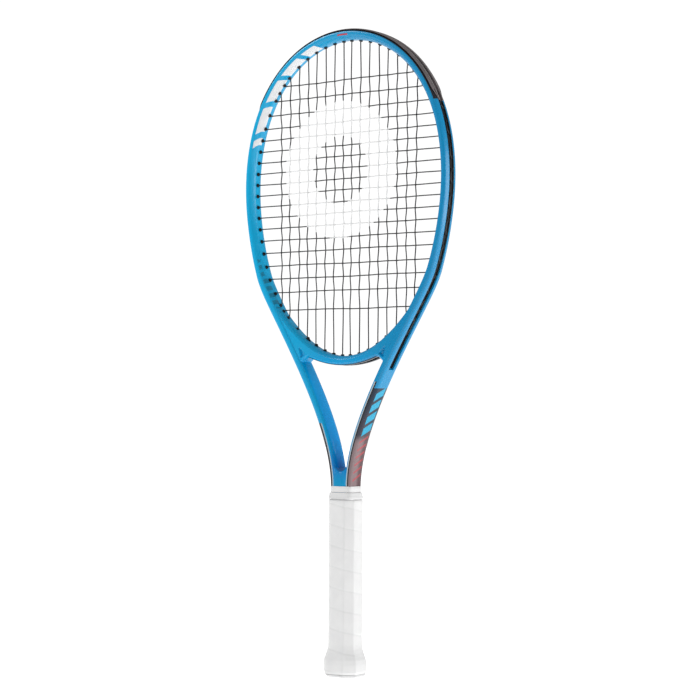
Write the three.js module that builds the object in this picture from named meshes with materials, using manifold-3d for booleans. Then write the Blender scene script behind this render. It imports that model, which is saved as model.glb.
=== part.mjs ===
// A strung tennis racket, 27 inches long, standing on its butt with the head up.
// Millimetres. +Z runs from the butt to the tip, X lies across the face, the front face looks along -Y.
// The origin is the middle of the butt end.
import * as THREE from 'three';
import { mergeVertices } from 'three/addons/utils/BufferGeometryUtils.js';
import Module from 'manifold-3d';

const wasm = await Module();
wasm.setup();

// ---------------------------------------------------------------- driving dimensions

const GAP = 0.3;

// Centre line of the hairpin tube: an egg-shaped hoop whose lower ends run into two arms.
const HOOP = {
  halfWidth: 126.5,
  halfHeight: 184.4,
  centre: 496,
  skew: 0.1565,
  endAngle: 1.935,
  share: 0.56,
};
const ARM = { lead: 38.7, run: 77, footX: 8, footZ: 201.8 };
const STATION_STEP = 0.025;

// Half sections of the tube, from its outer flat round the front crest to its inner flat, as [outward, y].
const HOOP_SECTION = [[4.2, 4.2], [3.2, 8.3], [1.7, 10.5], [-1.7, 10.5], [-3.6, 8.8], [-6.1, 4.4]];
const ARM_SECTION = [[5.6, 7.5], [5, 9.8], [3.3, 10.7], [-1.4, 10.7], [-2.7, 9], [-3.7, 4.9]];
const SECTION_BLEND = { from: 0.46, to: 0.64 };

const GROOVE = { floor: 2, halfWidth: 4.2, endStation: 0.79 };
const NECK = { width: 26.4, depth: 21, radius: 3, bottom: 187.3, top: 204 };
const TANG = { width: 21, depth: 17, radius: 3, bottom: 12 };
const WEB = { halfDepth: 10.4, bottom: 200, footX: 7, notch: 215, tipX: 8.5, tipZ: 222 };

// The bridge closes the hoop between the arms. Both its edges are parabolas z = low + x^2 / spread.
const BRIDGE = {
  top: 339.6,
  topSpread: 144.5,
  under: 329.5,
  underSpread: 227.5,
  halfDepth: 9.6,
  chamfer: 2.2,
  reach: 88,
  corner: 45,
  buried: [[50.5, 332], [55, 332], [69, 354.5], [88, 386]],
  archSteps: 9,
  footSteps: [60, 65, 69, 75, 81],
  limbRoom: [0.55, 0.9],
};
const POCKET = { corners: [[57, 350], [48, 341.5], [54, 337]], floor: 5.5 };

// Grommet strips and strings.
const BUMPER_END = 0.283;
const SIDE_STRIP = { from: 0.2845, to: 0.786 };
const THROAT_STRIP = { reach: 46.5, step: 8 };
const STRIP_SECTION = [[2.3, -3.9], [2.3, 3.9], [4, 3.9], [4, -3.9]];
const BUMPER_HALF = [[2.3, 3.9], [4.5, 3.9], [4.5, 4.5], [3.5, 8.4], [4.1, 9.1], [5.4, 6]];
const CHANNEL = { floor: 2.9, halfWidth: 2.9 };
const BARREL = { radius: 2, bore: 1.05, hole: 2.3, proud: 1.6, sides: 6 };
const STRING = { radius: 0.8, wave: 0.75, bend: 1, channel: 3.8, sideStep: 1.7, tail: 4 };
const WEAVE_CLEARANCE = 2;
const CHANNEL_STEP = 6;

const MAIN_X = [5.1, 16.7, 28.7, 40.6, 52.2, 64, 76.4, 89.5];
const MAINS_ON_BRIDGE = 5;
const GUSSET_MOUTHS = [-12, -8];
const EXIT_PULL = 0.165;
const FIRST_CROSS = 633;
const OUTER_FOOT_X = 86.8;
const GUSSET_DEPTH = 6;
const CROSS_PITCH = [15.5, 15, 14, 12.5, 12, 12, 12, 12, 12, 12, 12, 12.5, 13, 13.5, 14.5, 14, 15, 19.5];

// Handle: every octagon is the grip's own outline grown or shrunk by an even amount.
const GRIP = { flatX: 8.95, halfY: 15.55, halfX: 16.65, flatY: 7.65, top: 187, wall: 1.8 };
const FLARE = [[7, 4.7], [15, 4.7], [18, 4.1], [22, 2.7], [26, 1.3], [30, 0.4], [33, 0]];
const GRIP_FOOT = [[3.1, 3.9], [5, 4.5]];
const PALLET = { grow: -2.1, rebate: -3.6, step: 31.3, bottom: 8, top: 186 };
const CAP = { top: 31, topGrow: -1.95, rim: 2.8, floor: 3.6, bore: 9.5 };
const CAP_FOOT = [[0, 1.6], [0.7, 2.8], [2, 3.6], [2.8, 3.7]];
const DOOR = { seat: 12, seatDepth: 2.2, radius: 11.3, bottom: 0.2, top: 1.9, armStart: 9 };
const HINGE = { y: 12.6, z: 1.35, knuckle: 1.15, halfWidth: 3.4, pin: 0.45, pinBore: 0.65, pinLength: 12.6 };
const SLOT = { halfWidth: 3.8, front: 10.5, back: 14.2, top: 2.85 };
const BADGE = { radius: 8, top: 0.6 };
const STAPLE = { z: 12, width: 9, wire: 0.7, leg: 7.5 };
const COLLAR = { bottom: 187.3, top: 194.8, lower: [31, 26.6, 5], upper: [29.8, 25.2, 5] };
const TAPE = { bottom: 195.1, top: 201.4, lower: [28.4, 23.2, 3.6], upper: [28, 22.8, 3.6] };

// Far enough for a cutting tool to pass right through what it cuts.
const OVERSHOOT = 1;
const CUT_OUT = 9;
const HALF_SPACE = 30;
const ROUND_SIDES = 24;
const PIN_SIDES = 8;
const KNUCKLE_SIDES = 12;

// ---------------------------------------------------------------- solids

const vector = (x, y, z) => new THREE.Vector3(x, y, z);
const mix = (a, b, t) => a + (b - a) * t;
const mirrored = (half) => [...half, ...half.toReversed().map(([out, y]) => [out, -y])];

// The outline of a channel cut from the outside down to its floor.
const channelOutline = ({ floor, halfWidth }) => [
  [floor, halfWidth],
  [floor, -halfWidth],
  [CUT_OUT, -halfWidth],
  [CUT_OUT, halfWidth],
];

function solidOf(geometry) {
  const bare = geometry.clone();
  bare.deleteAttribute('normal');
  bare.deleteAttribute('uv');
  const merged = mergeVertices(bare, 1e-4);
  return new wasm.Manifold(new wasm.Mesh({
    numProp: 3,
    vertProperties: new Float32Array(merged.attributes.position.array),
    triVerts: new Uint32Array(merged.index.array),
  }));
}

function geometryOf(solid) {
  const mesh = solid.getMesh();
  const geometry = new THREE.BufferGeometry();
  geometry.setAttribute('position', new THREE.BufferAttribute(mesh.vertProperties, 3));
  geometry.setIndex(new THREE.BufferAttribute(mesh.triVerts, 1));
  geometry.computeVertexNormals();
  return geometry;
}

// Six times the volume inside a closed skin: negative when its faces point inwards.
function signedVolume(points, faces) {
  let total = 0;
  for (let index = 0; index < faces.length; index += 3) {
    const [a, b, c] = faces.slice(index, index + 3).map((face) => points[face]);
    total += a.dot(b.clone().cross(c));
  }
  return total;
}

// A closed skin through rings of equal corner count; outline is the flat shape of the two end caps.
function loft(rings, outline) {
  const flat = outline.map(([x, y]) => new THREE.Vector2(x, y));
  const clockwise = THREE.ShapeUtils.isClockWise(flat);
  const points = rings.flatMap((ring) => (clockwise ? ring.toReversed() : ring));
  const caps = THREE.ShapeUtils.triangulateShape(clockwise ? flat.toReversed() : flat, []);
  const corners = outline.length;
  const last = (rings.length - 1) * corners;
  const faces = caps.flatMap(([a, b, c]) => [a, c, b, last + a, last + b, last + c]);
  for (let ring = 0; ring < rings.length - 1; ring += 1) {
    for (let corner = 0; corner < corners; corner += 1) {
      const a = ring * corners + corner;
      const b = ring * corners + ((corner + 1) % corners);
      faces.push(a, b, b + corners, a, b + corners, a + corners);
    }
  }
  const coordinates = points.flatMap((point) => point.toArray());
  const geometry = new THREE.BufferGeometry();
  geometry.setAttribute('position', new THREE.Float32BufferAttribute(coordinates, 3));
  geometry.setIndex(signedVolume(points, faces) < 0 ? faces.toReversed() : faces);
  return solidOf(geometry);
}

// A stack of level outlines, each given as { z, outline }.
function stack(levels) {
  return loft(levels.map(({ z, outline }) => outline.map(([x, y]) => vector(x, y, z))), levels[0].outline);
}

function rod(from, to, radius, sides) {
  const along = to.clone().sub(from);
  const geometry = new THREE.CylinderGeometry(radius, radius, along.length(), sides);
  const turn = new THREE.Quaternion().setFromUnitVectors(vector(0, 1, 0), along.clone().normalize());
  geometry.applyQuaternion(turn);
  geometry.translate(...from.clone().add(to).multiplyScalar(0.5).toArray());
  return solidOf(geometry);
}

// A box between two corners, turned about the Z axis if need be.
function block(low, high, turn = 0) {
  const size = high.map((value, axis) => value - low[axis]);
  const geometry = new THREE.BoxGeometry(...size);
  geometry.translate(...low.map((value, axis) => value + size[axis] / 2));
  geometry.rotateZ(turn);
  return solidOf(geometry);
}

// A flat shape drawn in X and Z, reaching from one Y to the other.
function plate(corners, lowY, highY) {
  const shape = new THREE.Shape(corners.map(([x, z]) => new THREE.Vector2(x, z)));
  const geometry = new THREE.ExtrudeGeometry(shape, { depth: highY - lowY, bevelEnabled: false });
  geometry.rotateX(Math.PI / 2);
  geometry.translate(0, highY, 0);
  return solidOf(geometry);
}

const cutAll = (body, tools) => tools.reduce((left, tool) => left.subtract(tool), body);
const joinAll = (bodies) => bodies.reduce((whole, body) => whole.add(body));

// ---------------------------------------------------------------- tracks

// Station 0 is the tip, +1 the foot of the right arm and -1 the foot of the left arm.
function limbCentre(station) {
  const side = Math.sign(station) || 1;
  const place = Math.abs(station);
  const angle = (Math.min(place, HOOP.share) / HOOP.share) * HOOP.endAngle;
  const hoopPoint = (a) => vector(
    HOOP.halfWidth * Math.sin(a) * (1 + HOOP.skew * Math.cos(a)),
    0,
    HOOP.centre + HOOP.halfHeight * Math.cos(a),
  );
  const point = hoopPoint(angle);
  if (place > HOOP.share) {
    const heading = hoopPoint(HOOP.endAngle).sub(hoopPoint(HOOP.endAngle - 1e-4)).normalize();
    const arm = new THREE.CubicBezierCurve3(
      point.clone(),
      point.clone().addScaledVector(heading, ARM.lead),
      vector(ARM.footX, 0, ARM.footZ + ARM.run),
      vector(ARM.footX, 0, ARM.footZ),
    );
    arm.getPoint((place - HOOP.share) / (1 - HOOP.share), point);
  }
  point.x *= side;
  return point;
}

function limbTrack(station) {
  const centre = limbCentre(station);
  const ahead = limbCentre(Math.min(station + 1e-4, 1));
  const behind = limbCentre(Math.max(station - 1e-4, -1));
  const along = ahead.sub(behind).normalize();
  return { centre, outward: vector(-along.z, 0, along.x) };
}

const bridgeTop = (x) => BRIDGE.top + (x * x) / BRIDGE.topSpread;
const bridgeUnder = (x) => BRIDGE.under + (x * x) / BRIDGE.underSpread;

// Runs along the underside of the bridge, set back so that the limb's sections fit it too.
function bridgeTrack(x) {
  const outward = vector((2 * x) / BRIDGE.underSpread, 0, -1).normalize();
  const centre = vector(x, 0, bridgeUnder(x)).addScaledVector(outward, -HOOP_SECTION[0][0]);
  return { centre, outward };
}

function onTrack(track, place, [out, y]) {
  const { centre, outward } = track(place);
  return centre.addScaledVector(outward, out).add(vector(0, y, 0));
}

// Sweeps a section, or a section that changes along the way, between two places on a track.
function band(track, sectionAt, from, to, step) {
  const count = Math.max(1, Math.round((to - from) / step));
  const places = Array.from({ length: count + 1 }, (_, index) => mix(from, to, index / count));
  const ringAt = (place) => sectionAt(place).map((corner) => onTrack(track, place, corner));
  return loft(places.map(ringAt), sectionAt(from));
}

function limbSection(station) {
  const t = THREE.MathUtils.smoothstep(Math.abs(station), SECTION_BLEND.from, SECTION_BLEND.to);
  const corner = ([out, y], index) => {
    const [armOut, armY] = ARM_SECTION[index];
    return [mix(out, armOut, t), mix(y, armY, t)];
  };
  return mirrored(HOOP_SECTION.map(corner));
}

const innerFlat = (station) => limbSection(station)[HOOP_SECTION.length - 1][0];

// The place between low and high where a rising or falling measure equals the target.
function solve(measure, target, low, high) {
  const rising = measure(high) > measure(low);
  let [from, to] = [low, high];
  for (let round = 0; round < 40; round += 1) {
    const middle = (from + to) / 2;
    const below = measure(middle) < target;
    if (below === rising) {
      from = middle;
    } else {
      to = middle;
    }
  }
  return (from + to) / 2;
}

// ---------------------------------------------------------------- string holes

// Each hole has its mouth, where the string bends into the barrel, and its exit into the outer channel.
function limbHole(station, mouthOut) {
  const reach = mouthOut ?? innerFlat(station) - BARREL.proud - STRING.bend;
  return {
    track: limbTrack,
    place: station,
    mouth: onTrack(limbTrack, station, [reach, 0]),
    exit: onTrack(limbTrack, station, [STRING.channel, 0]),
  };
}

function bridgeHole(x) {
  const exitX = x * (1 - EXIT_PULL * (x / MAIN_X[MAINS_ON_BRIDGE - 1]) ** 2);
  return {
    track: bridgeTrack,
    place: exitX,
    mouth: vector(x, 0, bridgeTop(x) + BARREL.proud + STRING.bend),
    exit: onTrack(bridgeTrack, exitX, [STRING.channel, 0]),
  };
}

const limbMouth = (station) => limbHole(station).mouth;

function flipped(hole) {
  const mirror = (point) => vector(-point.x, point.y, point.z);
  return { ...hole, place: -hole.place, mouth: mirror(hole.mouth), exit: mirror(hole.exit) };
}

const withSides = (hole) => ({ right: hole, left: flipped(hole) });

const mainHeads = MAIN_X.map((x) => withSides(limbHole(solve((s) => limbMouth(s).x, x, 0.005, 0.35))));
const mainFeet = [...MAIN_X.slice(0, -1), OUTER_FOOT_X].map((x, index) => {
  if (index < MAINS_ON_BRIDGE) {
    return withSides(bridgeHole(x));
  }
  const mouthOut = GUSSET_MOUTHS[index - MAINS_ON_BRIDGE];
  return withSides(limbHole(solve((s) => limbHole(s, mouthOut).mouth.x, x, 0.5, 0.8), mouthOut));
});
const crossZ = CROSS_PITCH.reduce((heights, pitch) => [...heights, heights.at(-1) - pitch], [FIRST_CROSS]);
const crossEnds = crossZ.map((z) => withSides(limbHole(solve((s) => limbMouth(s).z, z, 0.1, 0.7))));

const everyHole = [...mainHeads, ...mainFeet, ...crossEnds].flatMap(({ left, right }) => [left, right]);
const limbHoles = everyHole.filter((hole) => hole.track === limbTrack);
const bridgeHoles = everyHole.filter((hole) => hole.track === bridgeTrack);

function barrelOf(hole) {
  const inward = hole.mouth.clone().sub(hole.exit).normalize();
  const start = hole.exit.clone().addScaledVector(inward, STRING.channel - CHANNEL.floor + GAP);
  const end = hole.mouth.clone().addScaledVector(inward, -STRING.bend);
  return rod(start, end, BARREL.radius, BARREL.sides);
}

function throughHole(hole, radius) {
  const inward = hole.mouth.clone().sub(hole.exit).normalize();
  const outside = hole.exit.clone().addScaledVector(inward, -3 * OVERSHOOT);
  return rod(outside, hole.mouth, radius, BARREL.sides);
}

// ---------------------------------------------------------------- frame

const roundedRect = (width, depth, radius) => {
  const corner = (sideX, sideY, angles) => angles.map((degrees) => {
    const angle = THREE.MathUtils.degToRad(degrees);
    return [
      sideX * (width / 2 - radius) + radius * Math.cos(angle),
      sideY * (depth / 2 - radius) + radius * Math.sin(angle),
    ];
  });
  return [
    ...corner(1, 1, [0, 45, 90]),
    ...corner(-1, 1, [90, 135, 180]),
    ...corner(-1, -1, [180, 225, 270]),
    ...corner(1, -1, [270, 315, 360]),
  ];
};

function prism(outline, bottom, top) {
  return stack([{ z: bottom, outline }, { z: top, outline }]);
}

function makeFrame() {
  const hairpin = band(limbTrack, limbSection, -1, 1, STATION_STEP);
  const neck = prism(roundedRect(NECK.width, NECK.depth, NECK.radius), NECK.bottom, NECK.top);
  const tangOutline = roundedRect(TANG.width, TANG.depth, TANG.radius);
  const tang = prism(tangOutline, TANG.bottom, NECK.bottom + OVERSHOOT);
  const webCorners = [
    [-WEB.footX, WEB.bottom],
    [WEB.footX, WEB.bottom],
    [WEB.tipX, WEB.tipZ],
    [0, WEB.notch],
    [-WEB.tipX, WEB.tipZ],
  ];
  const web = plate(webCorners, -WEB.halfDepth, WEB.halfDepth);
  const grooveOutline = channelOutline(GROOVE);
  const groove = band(limbTrack, () => grooveOutline, -GROOVE.endStation, GROOVE.endStation, STATION_STEP);
  const body = joinAll([hairpin, neck, tang, web]).subtract(groove);
  return cutAll(body, limbHoles.map((hole) => throughHole(hole, BARREL.hole)));
}

// The lower edge of the bridge: its arched underside, a slanted corner, then a line buried in the arm.
function bridgeLow(x) {
  const [corner, ...buried] = [[BRIDGE.corner, bridgeUnder(BRIDGE.corner)], ...BRIDGE.buried];
  const reach = Math.abs(x);
  if (reach <= corner[0]) {
    return bridgeUnder(reach);
  }
  const ends = [corner, ...buried];
  const next = ends.findIndex(([endX]) => endX >= reach);
  const [[x0, z0], [x1, z1]] = [ends[next - 1], ends[next]];
  return mix(z0, z1, (reach - x0) / (x1 - x0));
}

function makeBridge() {
  const { halfDepth, chamfer, reach, archSteps, footSteps, buried } = BRIDGE;
  const archX = (_, index) => mix(0, BRIDGE.corner, index / archSteps);
  const half = Array.from({ length: archSteps + 1 }, archX);
  const xs = [...half, buried[0][0], buried[1][0], ...footSteps, reach];
  const ring = (x) => {
    const [low, high] = [bridgeLow(x), bridgeTop(x)];
    const cut = Math.min(chamfer, (high - low) / 4);
    const topCorners = [[high, halfDepth - cut], [high - cut, halfDepth]];
    const lowCorners = [[low + cut, halfDepth], [low, halfDepth - cut]];
    return mirrored([...topCorners, ...lowCorners]);
  };
  const everyX = [...xs.slice(1).toReversed().map((x) => -x), ...xs];
  const arch = loft(everyX.map((x) => ring(x).map(([z, y]) => vector(x, y, z))), ring(reach));
  const strip = THROAT_STRIP.reach + GAP;
  const grooveOutline = channelOutline(GROOVE);
  const groove = band(bridgeTrack, () => grooveOutline, -strip, strip, THROAT_STRIP.step);
  const pockets = [1, -1].flatMap((side) => {
    const corners = POCKET.corners.map(([x, z]) => [side * x, z]);
    const [near, far] = [POCKET.floor, 2 * POCKET.floor];
    return [plate(corners, near, far), plate(corners, -far, -near)];
  });
  const gussetHoles = limbHoles.filter((hole) => hole.mouth.z < bridgeTop(hole.mouth.x) + GUSSET_DEPTH);
  const holes = [...bridgeHoles, ...gussetHoles].map((hole) => throughHole(hole, BARREL.hole));
  const grown = (station) => limbSection(station).map(([out, y]) => [out - GAP, y * (1 + GAP / halfDepth)]);
  const [roomFrom, roomTo] = BRIDGE.limbRoom;
  const rooms = [
    band(limbTrack, grown, roomFrom, roomTo, STATION_STEP),
    band(limbTrack, grown, -roomTo, -roomFrom, STATION_STEP),
  ];
  return cutAll(arch, [groove, ...pockets, ...holes, ...rooms]);
}

// ---------------------------------------------------------------- grommet strips

function makeStrip(track, section, from, to, step) {
  const holes = everyHole.filter((hole) => hole.track === track && hole.place > from && hole.place < to);
  const whole = joinAll([band(track, () => section, from, to, step), ...holes.map(barrelOf)]);
  const outline = channelOutline(CHANNEL);
  const channel = band(track, () => outline, from, to, step);
  return cutAll(whole, [channel, ...holes.map((hole) => throughHole(hole, BARREL.bore))]);
}

const makeBumper = () => makeStrip(limbTrack, mirrored(BUMPER_HALF), -BUMPER_END, BUMPER_END, STATION_STEP);
const makeSideStrip = (from, to) => makeStrip(limbTrack, STRIP_SECTION, from, to, STATION_STEP);

function makeThroatStrip() {
  const { reach, step } = THROAT_STRIP;
  return makeStrip(bridgeTrack, STRIP_SECTION, -reach, reach, step);
}

// ---------------------------------------------------------------- strings

// One closed body along a route, four-sided, kept square to the face of the racket.
function makeString(route) {
  const corners = [[1, 1], [-1, 1], [-1, -1], [1, -1]];
  const rings = route.map((point, index) => {
    const heading = vector(0, 0, 0);
    if (index > 0) {
      heading.add(point.clone().sub(route[index - 1]).normalize());
    }
    if (index < route.length - 1) {
      heading.add(route[index + 1].clone().sub(point).normalize());
    }
    heading.normalize();
    const across = vector(0, 1, 0).addScaledVector(heading, -heading.y).normalize();
    const aside = heading.clone().cross(across);
    return corners.map(([a, b]) => point.clone()
      .addScaledVector(across, a * STRING.radius * Math.SQRT1_2)
      .addScaledVector(aside, b * STRING.radius * Math.SQRT1_2));
  });
  return loft(rings, corners);
}

// The run along the outer channel between two neighbouring holes, without its end points.
function channelRun(from, to, y) {
  const length = from.exit.distanceTo(to.exit);
  const count = Math.max(2, Math.floor(length / CHANNEL_STEP));
  return Array.from({ length: count }, (_, index) => {
    const place = mix(from.place, to.place, (index + 1) / (count + 1));
    return onTrack(from.track, place, [STRING.channel, y]);
  });
}

// A cut end, laid a few millimetres along the channel towards another place on the track.
function tail(hole, towards, y) {
  const length = onTrack(hole.track, towards, [STRING.channel, 0]).distanceTo(hole.exit);
  return onTrack(hole.track, mix(hole.place, towards, STRING.tail / length), [STRING.channel, y]);
}

const leftMain = (x, index) => ({ x: -x, head: mainHeads[index].left, foot: mainFeet[index].left });
const rightMain = (x, index) => ({ x, head: mainHeads[index].right, foot: mainFeet[index].right });
const allMains = [...MAIN_X.map(leftMain).toReversed(), ...MAIN_X.map(rightMain)];
const allCrosses = crossZ.map((z, index) => ({ z, ...crossEnds[index] }));

// Whether a main and a cross reach far enough past each other to be woven.
const meet = (main, cross) => Math.abs(main.x) < cross.right.mouth.x - WEAVE_CLEARANCE
  && cross.z < main.head.mouth.z - WEAVE_CLEARANCE
  && cross.z > main.foot.mouth.z + WEAVE_CLEARANCE;
const mainSide = (mainIndex, crossIndex) => STRING.wave * ((mainIndex + crossIndex) % 2 === 0 ? -1 : 1);

function mainRun(main, mainIndex) {
  const woven = allCrosses
    .map((cross, crossIndex) => ({ cross, y: mainSide(mainIndex, crossIndex) }))
    .filter(({ cross }) => meet(main, cross))
    .map(({ cross, y }) => vector(main.x, y, cross.z));
  return [main.head.exit, main.head.mouth, ...woven, main.foot.mouth, main.foot.exit];
}

function crossRun(cross, crossIndex) {
  const woven = allMains
    .map((main, mainIndex) => ({ main, y: -mainSide(mainIndex, crossIndex) }))
    .filter(({ main }) => meet(main, cross))
    .map(({ main, y }) => vector(main.x, y, cross.z));
  return [cross.left.exit, cross.left.mouth, ...woven, cross.right.mouth, cross.right.exit];
}

// The mains go up and down from the left edge to the right edge, turning at the head and at the throat.
function makeMainString() {
  const first = allMains[0];
  const last = allMains.at(-1);
  const nextHole = crossEnds.at(-2);
  const route = [tail(first.foot, nextHole.left.place, STRING.sideStep)];
  allMains.forEach((main, index) => {
    const run = mainRun(main, index);
    const upward = index % 2 === 0;
    route.push(...(upward ? run.toReversed() : run));
    const next = allMains[index + 1];
    if (next) {
      const ends = upward ? [main.head, next.head] : [main.foot, next.foot];
      route.push(...channelRun(...ends, STRING.sideStep));
    }
  });
  route.push(tail(last.foot, nextHole.right.place, STRING.sideStep));
  return makeString(route);
}

// The crosses go from side to side, from the head down to the throat.
function makeCrossString() {
  const route = [tail(allCrosses[0].left, mainHeads.at(-2).left.place, -STRING.sideStep)];
  allCrosses.forEach((cross, index) => {
    const run = crossRun(cross, index);
    const rightward = index % 2 === 0;
    route.push(...(rightward ? run : run.toReversed()));
    const next = allCrosses[index + 1];
    if (next) {
      const ends = rightward ? [cross.right, next.right] : [cross.left, next.left];
      route.push(...channelRun(...ends, -STRING.sideStep));
    }
  });
  route.push(tail(allCrosses.at(-1).right, mainFeet.at(-2).right.place, -STRING.sideStep));
  return makeString(route);
}

// ---------------------------------------------------------------- handle

function octagon(grow) {
  const slant = grow * Math.tan(Math.PI / 8);
  const [flatX, halfY] = [GRIP.flatX + slant, GRIP.halfY + grow];
  const [halfX, flatY] = [GRIP.halfX + grow, GRIP.flatY + slant];
  return [[halfX, flatY], [flatX, halfY], [-flatX, halfY], [-halfX, flatY],
    [-halfX, -flatY], [-flatX, -halfY], [flatX, -halfY], [halfX, -flatY]];
}

const octagonStack = (levels) => stack(levels.map(([z, grow]) => ({ z, outline: octagon(grow) })));

// A staple on one side of the handle, at a distance from the axis: a crown and two legs driven inwards.
function staple(distance, turn, grow) {
  const { z, width, wire, leg } = STAPLE;
  const outer = distance + GAP + wire;
  const box = (x0, x1, depth) => block(
    [x0 - grow, -outer - grow, z - wire / 2 - grow],
    [x1 + grow, -outer + depth + grow, z + wire / 2 + grow],
    turn,
  );
  return joinAll([
    box(-width / 2, width / 2, wire),
    box(-width / 2, -width / 2 + wire, leg),
    box(width / 2 - wire, width / 2, leg),
  ]);
}

const capSurface = FLARE[0][1] - GRIP.wall - GAP;
const staplesAt = (grow) => ({
  cap_staple_front: staple(GRIP.halfY + capSurface, 0, grow),
  cap_staple_back: staple(GRIP.halfY + capSurface, Math.PI, grow),
  wrap_staple: staple(GRIP.halfX + capSurface, -Math.PI / 2, grow),
});
const stapleRoom = Object.values(staplesAt(GAP));

function makePallet(side) {
  const { grow, rebate, step, bottom, top } = PALLET;
  const shell = octagonStack([[bottom, rebate], [step, rebate], [step, grow], [top, grow]]);
  const boreOutline = roundedRect(TANG.width + 2 * GAP, TANG.depth + 2 * GAP, TANG.radius);
  const bore = prism(boreOutline, bottom - OVERSHOOT, top + OVERSHOOT);
  const [lowY, highY] = side > 0 ? [-HALF_SPACE, GAP / 2] : [-GAP / 2, HALF_SPACE];
  const otherHalf = block([-HALF_SPACE, lowY, 0], [HALF_SPACE, highY, top + OVERSHOOT]);
  return cutAll(shell, [bore, otherHalf, ...stapleRoom]);
}

// A rod on the axis of the door's hinge, reaching equally to both sides.
function hingeRod(half, radius, sides) {
  return rod(vector(-half, HINGE.y, HINGE.z), vector(half, HINGE.y, HINGE.z), radius, sides);
}

function makeButtCap() {
  const flareBelowTop = FLARE.filter(([z]) => z < CAP.top);
  const under = flareBelowTop.map(([z, grow]) => [z, grow - GRIP.wall - GAP]);
  const outer = octagonStack([...CAP_FOOT, [CAP.rim, capSurface], ...under, [CAP.top, CAP.topGrow]]);
  const room = PALLET.rebate + GAP;
  const cavity = octagonStack([[CAP.floor, room], [CAP.top + OVERSHOOT, room]]);
  const doorSeat = rod(vector(0, 0, -OVERSHOOT), vector(0, 0, DOOR.seatDepth), DOOR.seat, ROUND_SIDES);
  const opening = rod(vector(0, 0, DOOR.top), vector(0, 0, CAP.floor + OVERSHOOT), CAP.bore, ROUND_SIDES);
  const slot = block([-SLOT.halfWidth, SLOT.front, -OVERSHOOT], [SLOT.halfWidth, SLOT.back, SLOT.top]);
  const pinHole = hingeRod(HINGE.pinLength / 2 + GAP, HINGE.pinBore, PIN_SIDES);
  return cutAll(outer, [cavity, doorSeat, opening, slot, pinHole, ...stapleRoom]);
}

function makeButtDoor() {
  const disc = rod(vector(0, 0, DOOR.bottom), vector(0, 0, DOOR.top), DOOR.radius, ROUND_SIDES);
  const arm = block([-HINGE.halfWidth, DOOR.armStart, DOOR.bottom], [HINGE.halfWidth, HINGE.y, DOOR.top]);
  const knuckle = hingeRod(HINGE.halfWidth, HINGE.knuckle, KNUCKLE_SIDES);
  const bore = hingeRod(HINGE.halfWidth + OVERSHOOT, HINGE.pinBore, PIN_SIDES);
  const recessTop = vector(0, 0, BADGE.top + GAP);
  const recess = rod(vector(0, 0, -OVERSHOOT), recessTop, BADGE.radius + GAP, ROUND_SIDES);
  return cutAll(joinAll([disc, arm, knuckle]), [bore, recess]);
}

const makeHingePin = () => hingeRod(HINGE.pinLength / 2, HINGE.pin, PIN_SIDES);
const makeBadge = () => rod(vector(0, 0, DOOR.bottom), vector(0, 0, BADGE.top), BADGE.radius, ROUND_SIDES);

function makeBaseGrip() {
  const outline = [...GRIP_FOOT, ...FLARE, [GRIP.top, 0]];
  const flareInside = FLARE.map(([z, grow]) => [z, grow - GRIP.wall]);
  const inside = [[0, flareInside[0][1]], ...flareInside, [GRIP.top + OVERSHOOT, -GRIP.wall]];
  return cutAll(octagonStack(outline), [octagonStack(inside), ...stapleRoom]);
}

function makeBandAroundNeck({ bottom, top, lower, upper }) {
  const bore = roundedRect(NECK.width + 2 * GAP, NECK.depth + 2 * GAP, NECK.radius);
  const levels = [{ z: bottom, outline: roundedRect(...lower) }, { z: top, outline: roundedRect(...upper) }];
  return stack(levels).subtract(prism(bore, bottom - OVERSHOOT, top + OVERSHOOT));
}

// ---------------------------------------------------------------- materials and assembly

const LOOKS = {
  paint: { color: 0x0a9fdc, roughness: 0.25, metalness: 0 },
  guard: { color: 0x1b1a1b, roughness: 0.5, metalness: 0 },
  string: { color: 0x17171a, roughness: 0.4, metalness: 0 },
  white: { color: 0xe9e9e9, roughness: 0.75, metalness: 0 },
  rubber: { color: 0xf1f0ee, roughness: 0.6, metalness: 0 },
  pallet: { color: 0x3a3a3c, roughness: 0.8, metalness: 0 },
  badge: { color: 0x8f959b, roughness: 0.35, metalness: 0 },
  steel: { color: 0xb9bcc0, roughness: 0.3, metalness: 1 },
};

const racket = new THREE.Group();
racket.name = 'racket';

function addPiece(name, solid, look) {
  const material = new THREE.MeshStandardMaterial({ ...LOOKS[look], flatShading: true });
  const mesh = new THREE.Mesh(geometryOf(solid), material);
  mesh.name = name;
  racket.add(mesh);
}

addPiece('frame', makeFrame(), 'paint');
addPiece('throat_bridge', makeBridge(), 'paint');
addPiece('bumper_guard', makeBumper(), 'guard');
addPiece('side_grommets_right', makeSideStrip(SIDE_STRIP.from, SIDE_STRIP.to), 'guard');
addPiece('side_grommets_left', makeSideStrip(-SIDE_STRIP.to, -SIDE_STRIP.from), 'guard');
addPiece('throat_grommets', makeThroatStrip(), 'guard');
addPiece('main_string', makeMainString(), 'string');
addPiece('cross_string', makeCrossString(), 'string');
addPiece('handle_pallet_front', makePallet(-1), 'pallet');
addPiece('handle_pallet_back', makePallet(1), 'pallet');
addPiece('butt_cap', makeButtCap(), 'white');
addPiece('butt_door', makeButtDoor(), 'white');
addPiece('door_hinge_pin', makeHingePin(), 'steel');
addPiece('end_badge', makeBadge(), 'badge');
Object.entries(staplesAt(0)).forEach(([name, solid]) => addPiece(name, solid, 'steel'));
addPiece('base_grip', makeBaseGrip(), 'white');
addPiece('grip_collar', makeBandAroundNeck(COLLAR), 'rubber');
addPiece('finishing_tape', makeBandAroundNeck(TAPE), 'white');

export default racket;
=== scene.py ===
import math

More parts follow.
